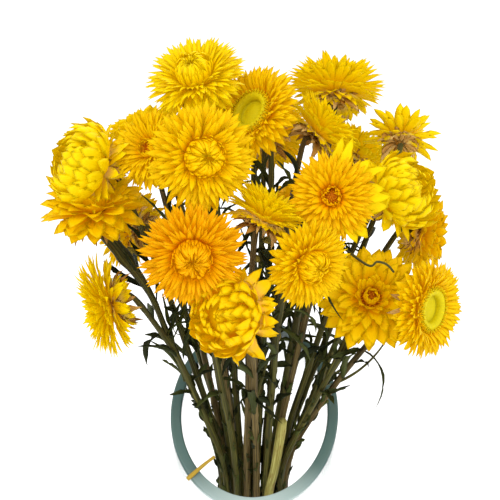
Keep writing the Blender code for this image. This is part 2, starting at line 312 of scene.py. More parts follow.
def sheets(bundle, base, out, up, length, lean, width, layer, chance, finish=0, tip=2.0, foot=0.5,
           cup=0.3, twist=0.0, sway=0.0, ruffle=0.0, thick=0.22 * MM, rows=7, cols=5, bend=1.3):
    """One thin closed sheet for each row of base.

    s runs 0 to 1 from foot to tip, v from -1 to 1 across. The angle away from up goes from lean[0]
    to lean[1] as s ** bend, and the middle line is the running sum of that direction. The half
    width grows to its full value at s = 0.45 and falls to a point as 1 - t ** tip. The edges rise
    by cup * v ** 2, the sheet turns by twist * s and ruffles by a sine along its edges.
    """
    count = len(base)
    s, v = np.linspace(0, 1, rows), np.linspace(-1, 1, cols)
    column = lambda value: np.broadcast_to(np.asarray(value, float), (count,))[:, None]
    angle = column(lean[0]) + (column(lean[1]) - column(lean[0])) * s**bend
    side = np.cross(up, out)
    ahead = np.sin(angle)[..., None] * out[:, None] + np.cos(angle)[..., None] * up[:, None]
    lift = np.sin(angle)[..., None] * up[:, None] - np.cos(angle)[..., None] * out[:, None]
    stretch = (ahead[:, 1:] + ahead[:, :-1]) / 2 * (column(length) / (rows - 1))[..., None]
    run = np.concatenate([np.zeros((count, 1, 3)), np.cumsum(stretch, axis=1)], axis=1)
    middle = base[:, None] + run + side[:, None] * (column(sway) * column(length) * s**2)[..., None]
    turn = (column(twist) * s)[..., None]
    across = np.cos(turn) * side[:, None] + np.sin(turn) * lift
    raised = np.cos(turn) * lift - np.sin(turn) * side[:, None]
    early = foot + (1 - foot) * np.sin(np.pi / 2 * np.minimum(s / 0.45, 1))
    late = 0.04 + 0.96 * (1 - np.clip((s - 0.45) / 0.55, 0, 1) ** tip)
    half = column(width) * early * late
    wave = ruffle * np.sin(13 * s + 40 * column(chance))[..., None] * np.sign(v) * v**2
    height = half[..., None] * (cup * v**2 + wave)
    front = middle[:, :, None] + across[:, :, None] * (half[..., None] * v)[..., None]
    front = front + raised[:, :, None] * height[..., None]
    back = front[:, 1:-1, 1:-1] - raised[:, 1:-1, None] * thick
    points = np.concatenate([front.reshape(count, -1, 3), back.reshape(count, -1, 3)], axis=1)
    per = points.shape[1]
    faces = sheet_faces(rows, cols)[None] + (np.arange(count) * per)[:, None, None]
    grid = np.stack(np.meshgrid(s, v, indexing="ij"), axis=2)
    flat = np.concatenate([grid.reshape(-1, 2), grid[1:-1, 1:-1].reshape(-1, 2)])
    marks = np.empty((count, per, 4))
    marks[..., 0], marks[..., 1] = flat[:, 0], column(layer)
    marks[..., 2], marks[..., 3] = column(chance), flat[:, 1]
    bundle.add(points.reshape(-1, 3), [faces.reshape(-1, 4)], marks.reshape(-1, 4), finish)


# %% [markdown]
# ## Rods and turned shapes
# Florets are tiny rods, and the disc under them and the cup under the bracts are turned shapes.
# Both are rings of points, closed with a middle point at each end.

# %% Make rods, tubes and turned shapes


def ring_faces(rings, sides):
    """Quads between rings, then a fan at each end round a middle point after the last ring."""
    ring = np.arange(rings * sides).reshape(rings, sides)
    ahead = np.roll(ring, -1, axis=1)
    quads = np.stack([ring[:-1], ahead[:-1], ahead[1:], ring[1:]], axis=2).reshape(-1, 4)
    last = rings * sides
    low = np.stack([np.full(sides, last), ahead[0], ring[0]], axis=1)
    high = np.stack([np.full(sides, last + 1), ring[-1], ahead[-1]], axis=1)
    return [quads, np.concatenate([low, high])]


def circle(sides):
    """The angles of a ring's points."""
    return np.arange(sides) * 2 * np.pi / sides


def square_to(ahead, hint, sides):
    """Unit spokes of a ring square to each direction. hint is any direction far from them all."""
    side = unit(np.cross(ahead, hint))
    other = np.cross(ahead, side)
    turn = circle(sides)[:, None]
    return np.cos(turn) * side[:, None] + np.sin(turn) * other[:, None]


def rods(bundle, foot, top, radius, chance, finish, sides=5, taper=0.6):
    """Closed rods from foot to top: a ring at each end, the upper one taper times as wide."""
    count = len(foot)
    ahead = unit(top - foot)
    spoke = square_to(ahead, [0.31, 0.87, 0.38], sides)
    points = np.concatenate([
        foot[:, None] + spoke * radius, top[:, None] + spoke * radius * taper,
        foot[:, None], top[:, None] + ahead[:, None] * radius * 0.6,
    ], axis=1)
    per = points.shape[1]
    faces = [(f[None] + (np.arange(count) * per)[:, None, None]).reshape(-1, f.shape[1])
             for f in ring_faces(2, sides)]
    marks = np.empty((count, per, 4))
    marks[..., 0] = np.r_[np.zeros(sides), np.ones(sides), 0, 1]
    marks[..., 1], marks[..., 2], marks[..., 3] = 0.5, chance[:, None], 0
    bundle.add(points.reshape(-1, 3), faces, marks.reshape(-1, 4), finish)


def turned(bundle, outline, layer, finish=0, sides=28):
    """outline's (radius, height) points turned about Z, bottom first, closed at both ends."""
    outline = np.asarray(outline, float)
    turn = circle(sides)
    points = np.stack([
        outline[:, :1] * np.cos(turn), outline[:, :1] * np.sin(turn),
        np.broadcast_to(outline[:, 1:], (len(outline), sides)),
    ], axis=2).reshape(-1, 3)
    ends = np.array([[0, 0, outline[0, 1]], [0, 0, outline[-1, 1]]])
    marks = np.zeros((len(points) + 2, 4))
    marks[:-2, 0] = np.repeat(np.linspace(0, 1, len(outline)), sides)
    marks[-1, 0] = 1
    marks[:, 1] = layer
    marks[:-2, 3] = np.tile(np.sin(turn * 3), len(outline))
    bundle.add(np.concatenate([points, ends]), ring_faces(len(outline), sides), marks, finish)


def tube(bundle, path, radius, chance, finish, sides, ridge=0.0):
    """A tube of rings square to the path, with five ridges that wind slowly round it."""
    spoke = square_to(unit(np.gradient(path, axis=0)), [0.13, 0.98, 0.11], sides)
    turn = circle(sides)
    share = np.linspace(0, 1, len(path))[:, None]
    wave = 1 + ridge * np.cos(5 * turn + 5 * share + 40 * chance)
    points = path[:, None] + spoke * (radius[:, None] * wave)[..., None]
    points = np.concatenate([points.reshape(-1, 3), path[:1], path[-1:]])
    marks = np.empty((len(points), 4))
    marks[:-2, 0] = np.repeat(share[:, 0], sides)
    marks[-2:, 0] = 0, 1
    marks[:, 1], marks[:, 2] = 0.5, chance
    marks[:-2, 3] = np.tile(np.cos(turn), len(path))
    marks[-2:, 3] = 0
    bundle.add(points, ring_faces(len(path), sides), marks, finish)


# %% [markdown]
# ## Reading the frame
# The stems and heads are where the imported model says. A packed stem is a tube of six-sided rings,
# so its middle line is read back by walking from ring to ring: the six points nearest the last
# middle are the next ring. Its last stretch is square to the head, which gives the head's axis.

# %% Measure stems and heads


def node_points(node):
    """The node's corner points, each once."""
    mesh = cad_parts[node].data
    points = np.empty(len(mesh.vertices) * 3)
    mesh.vertices.foreach_get("co", points)
    return np.unique(np.round(points.reshape(-1, 3), 6), axis=0)


def stem_line(node, sides=6):
    """Middles and radii of the rings, from the foot up."""
    left = node_points(node)
    here = left[np.argsort(left[:, 2])[:sides]].mean(axis=0)
    middles, radii = [], []
    while len(left) >= sides:
        near = np.argsort(np.linalg.norm(left - here, axis=1))[:sides]
        here = left[near].mean(axis=0)
        middles.append(here)
        radii.append(np.linalg.norm(left[near] - here, axis=1).mean())
        left = np.delete(left, near, axis=0)
    return np.array(middles), np.array(radii)


def smooth_path(points, count):
    """A Catmull-Rom curve through the points, cut into equal lengths."""
    padded = np.vstack([2 * points[0] - points[1], points, 2 * points[-1] - points[-2]])
    t = np.linspace(0, 1, 13)[:-1, None]
    runs = []
    for a, b, c, d in zip(padded, padded[1:], padded[2:], padded[3:]):
        square, cube = 2 * a - 5 * b + 4 * c - d, 3 * b - a - 3 * c + d
        runs.append(0.5 * (2 * b + (c - a) * t + square * t**2 + cube * t**3))
    fine = np.vstack([*runs, points[-1:]])
    run = np.r_[0, np.cumsum(np.linalg.norm(np.diff(fine, axis=0), axis=1))]
    even = np.linspace(0, run[-1], count)
    return np.column_stack([np.interp(even, run, fine[:, k]) for k in range(3)])


names = sorted(name[5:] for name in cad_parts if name.startswith("head_"))
stems = {name: stem_line(f"stem_{name}") for name in names}


def head_place(name):
    """Neck, axis and radius of a packed head."""
    line, _ = stems[name]
    axis = unit(line[-1] - line[-2])
    spread = node_points(f"head_{name}") - line[-1]
    return line[-1], axis, np.linalg.norm(spread - (spread @ axis)[:, None] * axis, axis=1).max()


heads = {name: head_place(name) for name in names}
print(len(names), "heads, radius", *(f"{h[2] / MM:.1f}" for h in list(heads.values())[:4]), "... mm")

# %% [markdown]
# ## The layers of a head
# A strawflower opens from a bud: the innermost bracts curl over the disc, the middle ones stand
# out as a wide crown, and the lowest hang back. Each form of head below is a list of such layers,
# in shares of the head's radius. Bracts in a layer are set at the golden angle, as a plant sets
# them, because even spacing looks made.

# %% List the forms of head

# count, foot radius, foot height, length, lean at foot and tip, half width, tip power, layer mark
FORMS = {
    "open": [
        (36, 0.20, 0.32, 0.30, 15, -35, 0.055, 1.8, 0.05),
        (54, 0.22, 0.31, 0.60, 30, 56, 0.066, 2.0, 0.20),
        (60, 0.23, 0.28, 0.80, 48, 76, 0.080, 2.2, 0.34),
        (54, 0.24, 0.23, 0.88, 66, 93, 0.095, 2.4, 0.48),
        (34, 0.22, 0.17, 0.78, 86, 112, 0.118, 2.6, 0.66),
        (22, 0.19, 0.12, 0.50, 110, 146, 0.115, 2.8, 0.92),
    ],
    "cup": [
        (64, 0.27, 0.33, 0.68, 36, -104, 0.072, 2.0, 0.05),
        (44, 0.30, 0.32, 0.50, 28, -22, 0.062, 1.8, 0.16),
        (60, 0.31, 0.31, 0.64, 32, 60, 0.070, 2.0, 0.24),
        (66, 0.31, 0.28, 0.78, 50, 78, 0.082, 2.2, 0.38),
        (56, 0.29, 0.22, 0.84, 68, 96, 0.100, 2.4, 0.52),
        (28, 0.24, 0.16, 0.74, 88, 120, 0.125, 2.6, 0.70),
        (18, 0.19, 0.11, 0.46, 110, 150, 0.120, 2.8, 0.94),
    ],
    "dome": [
        (26, 0.12, 0.56, 0.46, 30, -95, 0.090, 2.4, 0.08),
        (26, 0.26, 0.42, 0.82, 60, -82, 0.150, 2.8, 0.22),
        (28, 0.30, 0.32, 1.02, 78, -60, 0.180, 3.0, 0.34),
        (26, 0.30, 0.23, 1.04, 92, -34, 0.190, 3.0, 0.46),
        (22, 0.28, 0.16, 0.94, 96, 0, 0.190, 2.8, 0.58),
        (18, 0.22, 0.10, 0.84, 88, 96, 0.165, 2.6, 0.74),
        (14, 0.18, 0.08, 0.56, 105, 138, 0.140, 2.6, 0.95),
    ],
    "button": [
        (70, 0.44, 0.30, 0.16, 10, -30, 0.026, 1.4, 0.02),
        (70, 0.43, 0.27, 0.44, 34, 66, 0.062, 2.0, 0.22),
        (72, 0.41, 0.24, 0.58, 54, 84, 0.076, 2.2, 0.36),
        (56, 0.36, 0.20, 0.70, 72, 98, 0.098, 2.4, 0.50),
        (30, 0.28, 0.15, 0.66, 90, 120, 0.120, 2.6, 0.68),
        (18, 0.20, 0.10, 0.44, 112, 150, 0.120, 2.8, 0.94),
    ],
    "broad": [
        (34, 0.14, 0.32, 0.26, 10, -30, 0.070, 2.0, 0.02),
        (20, 0.20, 0.32, 0.46, 20, 22, 0.110, 2.4, 0.10),
        (22, 0.22, 0.29, 0.72, 42, 60, 0.150, 2.8, 0.26),
        (24, 0.23, 0.25, 0.86, 60, 82, 0.170, 3.0, 0.38),
        (24, 0.24, 0.20, 0.88, 78, 98, 0.175, 3.0, 0.52),
        (18, 0.22, 0.14, 0.72, 92, 118, 0.160, 2.8, 0.72),
        (14, 0.18, 0.09, 0.46, 108, 145, 0.130, 2.8, 0.94),
    ],
    "star": [
        (12, 0.12, 0.34, 0.40, 20, 10, 0.100, 2.4, 0.10),
        (10, 0.18, 0.30, 0.74, 40, 48, 0.120, 2.8, 0.25),
        (12, 0.20, 0.24, 0.88, 62, 78, 0.125, 2.8, 0.40),
        (11, 0.20, 0.18, 0.86, 82, 104, 0.120, 2.8, 0.55),
        (9, 0.18, 0.12, 0.60, 100, 128, 0.110, 2.6, 0.80),
        (12, 0.15, 0.07, 0.36, 96, 120, 0.110, 2.6, 0.98),
    ],
    "reflexed": [
        (40, 0.20, 0.34, 0.46, 25, -70, 0.070, 1.8, 0.06),
        (50, 0.22, 0.32, 0.62, 34, 54, 0.074, 2.0, 0.24),
        (60, 0.24, 0.29, 0.82, 54, 74, 0.088, 2.2, 0.38),
        (50, 0.24, 0.25, 0.86, 72, 88, 0.105, 2.4, 0.50),
        (34, 0.23, 0.20, 0.74, 90, 114, 0.112, 2.6, 0.64),
        (26, 0.20, 0.15, 0.58, 108, 146, 0.112, 2.8, 0.80),
        (16, 0.17, 0.10, 0.36, 132, 165, 0.105, 2.8, 0.96),
    ],
}
GOLDEN = math.radians(137.508)
print("forms:", ", ".join(FORMS))

# %% [markdown]
# ## The look of each head
# Each row gives a head's form, hue and disc, by how many degrees its layers open, or close where
# that is below 0, the width of its bracts as a share of the form's, and its radius as a share of the
# packed one. The values come from comparing the heads with the photographed bunch one by one.

# %% List the heads

LOOKS = {
    "top_left": ("cup", "lemon", "gold", 4, 0.8, 1.0),
    "large_left": ("cup", "yellow", "green", 0, 0.95, 0.93),
    "green_button": ("button", "yellow", "green", 0, 0.8, 1.0),
    "top_right": ("reflexed", "lemon", "gold", -4, 0.9, 1.0),
    "far_right_small": ("star", "lemon", "gold", 0, 1.0, 1.0),
    "far_left_bud": ("dome", "lemon", "gold", 0, 0.9, 1.1),
    "left_back": ("broad", "lemon", "gold", 0, 0.9, 1.0),
    "left_orange": ("broad", "yellow", "gold", 0, 1.0, 1.0),
    "front_orange": ("cup", "orange", "green", 2, 0.7, 0.96),
    "centre_fan": ("open", "lemon", "gold", -22, 0.8, 1.1),
    "orange_heart": ("open", "golden", "gold", -6, 0.85, 1.0),
    "front_right": ("cup", "yellow", "green", 0, 0.85, 0.91),
    "right_scales": ("dome", "lemon", "gold", 0, 0.9, 1.0),
    "right_low": ("broad", "yellow", "gold", 0, 1.0, 1.0),
    "right_underside": ("broad", "yellow", "gold", 0, 0.9, 1.0),
    "right_button": ("button", "yellow", "green", 0, 0.8, 1.0),
    "low_left": ("open", "lemon", "gold", 4, 0.8, 1.0),
    "low_front": ("dome", "yellow", "gold", 0, 1.0, 0.86),
    "upper_fan": ("open", "lemon", "gold", -22, 0.85, 1.05),
    "left_behind": ("open", "yellow", "gold", 0, 0.9, 1.0),
    "right_filler": ("broad", "lemon", "gold", 0, 0.9, 1.0),
    "back_crown": ("cup", "yellow", "gold", 0, 1.0, 1.0),
    "back_left": ("open", "golden", "gold", 0, 1.0, 1.0),
    "back_centre": ("cup", "yellow", "green", 0, 1.0, 1.0),
    "back_right": ("button", "lemon", "green", 0, 1.0, 1.0),
    "back_low_left": ("open", "yellow", "gold", 0, 1.0, 1.0),
    "back_low_right": ("dome", "golden", "gold", 0, 1.0, 1.0),
}
print("heads listed:", len(LOOKS))

# %% [markdown]
# ## Build the heads
# Every head gets its layers of bracts, the scales below, the cup that carries them and, in the
# middle, a disc with florets. Chance numbers vary length, lean, twist and sideways sway a little,
# from a seed that belongs to the head, so the bunch is the same each time.

# %% Bracts, scales, disc and florets


def head_layers(bundle, form, radius, opened, wide, dice):
    """All bracts of one head, about +Z with the neck at the origin."""
    for number, foot_r, foot_h, length, lean0, lean1, width, tip, layer in FORMS[form]:
        # Narrower bracts stand closer, so that a layer covers as much.
        count = round(number / wide)
        angle = GOLDEN * np.arange(count) + dice.uniform(0, 6.28) + dice.normal(0, 0.06, count)
        out, up = spokes(angle)
        shift = opened * (0.3 + layer) + dice.normal(0, 4, count)
        foot = out * foot_r * radius + up * (foot_h + dice.normal(0, 0.012, count))[:, None] * radius
        stray = 18 if layer < 0.1 else 7
        lean = np.radians(lean0 + shift), np.radians(lean1 + shift + dice.normal(0, stray, count))
        sheets(
            bundle, foot, out, up, length * radius * dice.uniform(0.90, 1.05, count), lean,
            width * radius * wide * dice.uniform(0.85, 1.2, count), layer + dice.normal(0, 0.02, count),
            dice.random(count), 0, tip, 0.55, 0.25, dice.normal(0, 0.2, count),
            dice.normal(0, 0.06, count), 0.14, cols=4,
        )


def head_base(bundle, radius, dice):
    """The cup that carries the bracts, and short straw scales over it."""
    outline = np.array([
        (0.07, -0.02), (0.10, 0.02), (0.17, 0.07), (0.22, 0.14), (0.23, 0.22), (0.20, 0.30), (0.08, 0.33),
    ])
    turned(bundle, outline * radius, 0.5, 1)
    count = 34
    out, up = spokes(GOLDEN * np.arange(count) + dice.uniform(0, 6.28))
    share = np.linspace(0, 1, count)[:, None]
    foot = (out * (0.09 + 0.09 * share) + up * 0.1 * share) * radius
    lean = np.radians(62 + 30 * dice.random(count)), np.radians(85 + 50 * dice.random(count))
    sheets(bundle, foot, out, up, (0.24 + 0.20 * share[:, 0]) * radius, lean, 0.07 * radius, 0.5,
           dice.random(count), 1, 2.6, 0.7, 0.5, 0.0, 0.0, 0.2, rows=5, cols=3)
    # A few withered bracts hang down beside the stalk.
    few = 14
    lean = np.radians(dice.uniform(70, 110, few)), np.radians(dice.uniform(130, 185, few))
    sheets(bundle, foot[:few], out[:few], up[:few], dice.uniform(0.4, 0.75, few) * radius, lean,
           0.075 * radius, 0.5, dice.random(few), 1, 2.2, 0.6, 0.6, dice.normal(0, 0.8, few),
           ruffle=0.3, cols=4)


def head_disc(bundle, form, radius, dice):
    """The middle: a floret ring, a core under closed bracts, or a low dome of florets."""
    if form == "button":
        # A raised ring round a sunken middle, its outside set with fine florets.
        ring = lambda roll: (0.36 + 0.09 * np.cos(roll), 0.34 + 0.10 * np.sin(roll))
        swell = zip(*ring(np.radians(np.linspace(-60, 215, 12))))
        turned(bundle, np.array([(0.30, 0.20), *swell, (0.14, 0.33), (0.05, 0.35)]) * radius, 0.5, 2, 40)
        count = 210
        out, up = spokes(GOLDEN * np.arange(count))
        slope = np.radians(np.linspace(-25, 75, count))[:, None]
        wide, high = ring(slope)
        spread = out * wide + up * high
        aim = out * np.cos(slope) + up * (np.sin(slope) + 0.3) + dice.normal(0, 0.15, (count, 3))
        rods(bundle, spread * radius, (spread + aim * 0.045) * radius, 0.012 * radius, dice.random(count), 2)
        return
    if form in ("dome", "cup"):
        # A core under the closed bracts, so that nothing dark shows between them.
        wide, middle, high = (0.45, 0.45, 0.32) if form == "dome" else (0.28, 0.36, 0.22)
        slope = np.radians(np.linspace(-80, 80, 11))
        outline = np.column_stack([wide * np.cos(slope), middle + high * np.sin(slope)])
        turned(bundle, outline * radius, 0.3 if form == "dome" else 0.04, 0)
        return
    wide, low, high, count = 0.20, 0.30, 0.09, 70
    turn = np.linspace(0, np.pi / 2, 7)[:-1]
    outline = [(wide * 0.9, low - 0.06), *zip(wide * np.cos(turn), low + high * np.sin(turn))]
    turned(bundle, np.array(outline) * radius, 0.5, 2)
    out, up = spokes(GOLDEN * np.arange(count))
    share = np.sqrt((np.arange(count) + 0.5) / count)[:, None]
    slope = share * np.pi / 2 * 0.92
    spread = out * np.sin(slope) * wide + up * (low + high * np.cos(slope))
    aim = out * share * 0.5 + up + dice.normal(0, 0.12, (count, 3))
    reach = (0.055 + 0.05 * dice.random(count))[:, None]
    rods(bundle, (spread - aim * 0.02) * radius, (spread + aim * reach) * radius, 0.021 * radius,
         dice.random(count), 2)


def bearing(direction, turn):
    """The angle, about a head's own axis, at which a direction in the bunch lies."""
    local = np.array(direction) @ turn
    return math.atan2(local[1], local[0])


def loose_bracts(bundle, loose, turn, radius, dice):
    """Broad bracts on one side of a head only, the side that faces the given direction."""
    _, direction, spread, count, length, width, lean0, lean1, layer = loose
    fan = np.radians(np.linspace(-spread, spread, count)) + dice.normal(0, 0.1, count)
    out, up = spokes(bearing(direction, turn) + fan)
    foot = (out * 0.24 + up * dice.uniform(0.10, 0.24, count)[:, None]) * radius
    lean = np.radians(lean0 + dice.normal(0, 7, count)), np.radians(lean1 + dice.normal(0, 10, count))
    sheets(bundle, foot, out, up, length * radius * dice.uniform(0.8, 1.05, count), lean,
           width * radius * dice.uniform(0.85, 1.15, count), layer, dice.random(count), 3, 2.6, 0.5, 0.4,
           dice.normal(0, 0.35, count), dice.normal(0, 0.08, count), 0.2)


def turn_to(axis, spin):
    """Columns: two directions square to the axis, turned by spin, and the axis itself."""
    side = unit(np.cross([0.0, 1.0, 0.0] if abs(axis[1]) < 0.9 else [1.0, 0.0, 0.0], axis))
    other = np.cross(axis, side)
    return np.column_stack([
        np.cos(spin) * side + np.sin(spin) * other, np.cos(spin) * other - np.sin(spin) * side, axis,
    ])


# hue, direction, spread in degrees, count, length, half width, lean at foot and tip, layer mark
LOOSE = {
    "orange_heart": ("lemon", (1.0, 0.0, 0.1), 75, 11, 1.2, 0.17, 74, 100, 0.60),
    "low_front": ("yellow", (1.0, 0.0, -0.1), 85, 9, 1.0, 0.17, 74, 118, 0.97),
    "centre_fan": ("yellow", (-0.6, 0.0, -1.0), 80, 8, 0.8, 0.13, 100, 135, 0.97),
}
pieces = []
for seed, name in enumerate(names):
    form, hue, disc, opened, wide, size = LOOKS[name]
    neck, axis, radius = heads[name]
    radius = radius * size
    dice = np.random.default_rng(100 + seed)
    bundle = Bundle()
    head_layers(bundle, form, radius, opened, wide, dice)
    head_base(bundle, radius, dice)
    head_disc(bundle, form, radius, dice)
    turn = turn_to(axis, seed)
    finishes = [HUES[hue], SCALE, FLORET[disc]]
    if name in LOOSE:
        loose_bracts(bundle, LOOSE[name], turn, radius, dice)
        finishes.append(HUES[LOOSE[name][0]])
    if name == "front_orange":
        # A thin dark line that runs under its bud.
        bend = bearing((0.0, 0.0, -1.0), turn) + np.radians(np.linspace(-62, 50, 20))
        out, up = spokes(bend)
        edge = (0.36 * out + up * (0.44 + 0.02 * np.sin(9 * bend))[:, None]) * radius
        tube(bundle, edge, np.sin(np.linspace(0.3, 2.8, 20)) * 0.34 * MM, 0.2, len(finishes), 6)
        finishes.append(LEAF)
    flower = bundle.piece(f"flower_{name}", finishes, (turn, neck))
    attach(flower, "root")
    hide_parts(f"head_{name}")
    pieces.append(flower)
print("head pieces:", len(pieces), "faces:", sum(len(piece.data.polygons) for piece in pieces))

# %% [markdown]
# ## Build the stalks with their leaves
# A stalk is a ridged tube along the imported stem's middle line. Shrivelled leaves stand off it,
# longer and freer above the glass and pressed close to the stalk inside it.

# %% Stalks and leaves
necks, axes, reaches = (np.array(column) for column in zip(*heads.values()))
HEAD_REACH = 0.95 * reaches * [LOOKS[name][5] for name in names]
HEAD_MIDDLES = necks + axes * 0.4 * HEAD_REACH[:, None]
LEAVES = 27
PRESSED_BELOW, FREE_OVER = 205 * MM, 30 * MM


def stalk_leaves(bundle, path, radius, dice):
    """Dry leaves along one stalk: thin sheets that leave it upwards and curl back."""
    count = LEAVES
    share = np.sort(dice.uniform(0.36, 0.97, count))
    at = np.clip((share * (len(path) - 1)).astype(int), 1, len(path) - 2)
    up = unit(path[at + 1] - path[at - 1])
    rough, _ = spokes(GOLDEN * np.arange(count) + dice.uniform(0, 6.28))
    out = unit(rough - (rough * up).sum(axis=1, keepdims=True) * up)
    # 0 for a leaf inside the glass, 1 for one well above it.
    free = np.clip((path[at, 2] - PRESSED_BELOW) / FREE_OVER, 0, 1)
    length = (9 + 22 * free * dice.uniform(0.4, 1, count)) * MM
    droop = dice.random(count) < 0.45
    first = np.radians(6 + free * np.where(droop, 70, 16))
    last = np.radians(8 + free * np.where(droop, 168, dice.uniform(0, 60, count)))
    foot = path[at] + out * (radius[at] * 0.8)[:, None]
    # Leaves that would grow into a head are left out.
    mean = ((first + last) / 2)[:, None]
    tip = foot + length[:, None] * (np.sin(mean) * out + np.cos(mean) * up)
    probes = np.stack([foot, (foot + tip) / 2, tip])
    keep = (np.linalg.norm(probes[:, :, None] - HEAD_MIDDLES, axis=3) > HEAD_REACH).all(axis=(0, 2))
    width, chance = dice.uniform(0.7, 1.9, count) * MM, dice.random(count)
    twist, sway = dice.normal(0, 2.2, count), dice.normal(0, 0.22, count)
    sheets(bundle, foot[keep], out[keep], up[keep], length[keep], (first[keep], last[keep]), width[keep], 0.5,
           chance[keep], 1, 1.9, 0.5, 0.8, twist[keep], sway[keep], 0.5, rows=11, bend=0.8)


RINGS = 90
# The heads whose stalks dried brown. The other stalks are olive.
BROWN = ("orange_heart", "centre_fan", "low_front", "large_left", "right_button", "upper_fan", "back_right",
         "left_back")
for seed, name in enumerate(names):
    line, radii = stems[name]
    dice = np.random.default_rng(500 + seed)
    path, share = smooth_path(line, RINGS), np.linspace(0, 1, RINGS)
    radius = np.interp(share, np.linspace(0, 1, len(radii)), radii)
    knots = dice.uniform(0.1, 0.95, 6)[:, None]
    swell = (0.18 * np.exp(-(((share - knots) / 0.008) ** 2))).sum(axis=0)
    bundle = Bundle()
    tube(bundle, path, radius * (1 + swell), dice.random(), 0, 15, 0.09)
    stalk_leaves(bundle, path, radius, dice)
    stalk = bundle.piece(f"stalk_{name}", [STALK["brown" if name in BROWN else "olive"], LEAF])
    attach(stalk, "root")
    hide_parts(f"stem_{name}")
    pieces.append(stalk)
print("stalk pieces:", len(names))

# %% [markdown]
# ## Side shoots
# Some stalks carry thin side shoots that end in a small closed bud, and a few bare threads that
# curled as they dried. Each starts on its stalk and climbs in an easy arc.

# %% Shoots and buds
BUD = plain_finish("dried_bud", (0.04, 0.045, 0.006), (0.30, 0.22, 0.03), 0.65)


def arc(start, out, up, length, curl):
    """A path whose lean away from up grows evenly from 25 degrees by curl over its length."""
    count = 26
    lean = math.radians(25) + curl * np.linspace(0, 1, count)
    ahead = np.sin(lean)[:, None] * out + np.cos(lean)[:, None] * up
    steps = (ahead[1:] + ahead[:-1]) / 2 * length / (count - 1)
    return start + np.vstack([np.zeros(3), np.cumsum(steps, axis=0)])


def bud(bundle, tip, ahead, size, dice):
    """Overlapping scales that close to a point, about the shoot's end."""
    count = 16
    out = spokes(GOLDEN * np.arange(count))[0] @ turn_to(ahead, dice.uniform(0, 6.28)).T
    up = np.broadcast_to(ahead, (count, 3))
    foot = tip + out * size * 0.1
    lean = np.radians(np.full(count, 42.0)), np.radians(-46 + dice.normal(0, 6, count))
    sheets(bundle, foot, out, up, size * dice.uniform(0.85, 1.15, count), lean, size * 0.26, 0.5,
           dice.random(count), 1, 1.8, 0.6, 0.6, rows=6, cols=4, bend=1.0)


LOWEST_SHOOT = 215 * MM
bundle = Bundle()
dice = np.random.default_rng(77)
shoots = 0
paths = [smooth_path(stems[name][0], RINGS) for name in names]
for path in paths:
    for kind in ("bud", "bud", "thread"):
        at = int(dice.uniform(0.5, 0.8) * (RINGS - 1))
        if path[at, 2] < LOWEST_SHOOT or dice.random() < 0.35:
            continue
        up = unit(path[at + 1] - path[at - 1])
        # Shoots lean away from the middle of the bunch.
        rough = spokes([dice.uniform(0, 6.28)])[0][0] + 14 * path[at] * [1, 1, 0]
        out = unit(rough - (rough @ up) * up)
        if kind == "bud":
            way = arc(path[at], out, up, dice.uniform(24, 46) * MM, dice.uniform(-0.7, 0.9))
            tube(bundle, way, np.linspace(0.75, 0.45, len(way)) * MM, dice.random(), 0, 7, 0.08)
            bud(bundle, way[-1], unit(way[-1] - way[-2]), dice.uniform(5, 8) * MM, dice)
        else:
            way = arc(path[at], out, up, dice.uniform(14, 26) * MM, dice.uniform(1.5, 5.0))
            tube(bundle, way, np.linspace(0.4, 0.2, len(way)) * MM, dice.random(), 0, 6)
        shoots += 1
# One bare thread leaves the nearest stalk and arches over the lower right heads.
thread = np.array([(49, -45, 300), (53.5, -47.5, 302.5), (58, -47.5, 301), (61.5, -45.5, 296.5)]) * MM
every = np.concatenate(paths)
nearest = every[np.linalg.norm(every - thread[0], axis=1).argmin()]
way = smooth_path(np.vstack([nearest, thread]), 48)
tube(bundle, way, np.linspace(0.7, 0.5, len(way)) * MM, 0.3, 0, 7, 0.08)
print("thread starts", round(float(np.linalg.norm(nearest - thread[0]) / MM)), "mm away, on a stalk")
shoot = bundle.piece("side_shoots", [STALK["olive"], BUD])
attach(shoot, "root")
pieces.append(shoot)
print("side shoots:", shoots)

# %% [markdown]
# ## The leaves the frame holds
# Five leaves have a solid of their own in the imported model. Each is dressed as a twisted blade that
# starts at its solid's foot and bends the same way.

# %% Dress the leaf nodes
LEAF_LENGTH, LEAF_HALF = 30 * MM, 2.4 * MM
LEAF_LEAN = np.radians(10), np.radians(58)
for seed, node in enumerate(sorted(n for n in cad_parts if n.startswith("leaf_"))):
    corners = node_points(node)
    rising = corners[np.argsort(corners[:, 2])]
    foot, end = rising[:4].mean(axis=0), rising[-4:].mean(axis=0)
    out = unit((end - foot) * [1, 1, 0])
    bundle = Bundle()
    sheets(bundle, foot[None], out[None], np.array([[0.0, 0.0, 1.0]]), LEAF_LENGTH, LEAF_LEAN, LEAF_HALF, 0.5,
           [0.3 + 0.1 * seed], 0, 1.5, 0.35, 0.8, 0.9, 0.05, 0.4, rows=16, bend=1.0)
    leaf = bundle.piece(f"dry_{node}", [LEAF])
    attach(leaf, "root")
    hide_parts(node)
    pieces.append(leaf)
print("leaf pieces:", seed + 1)
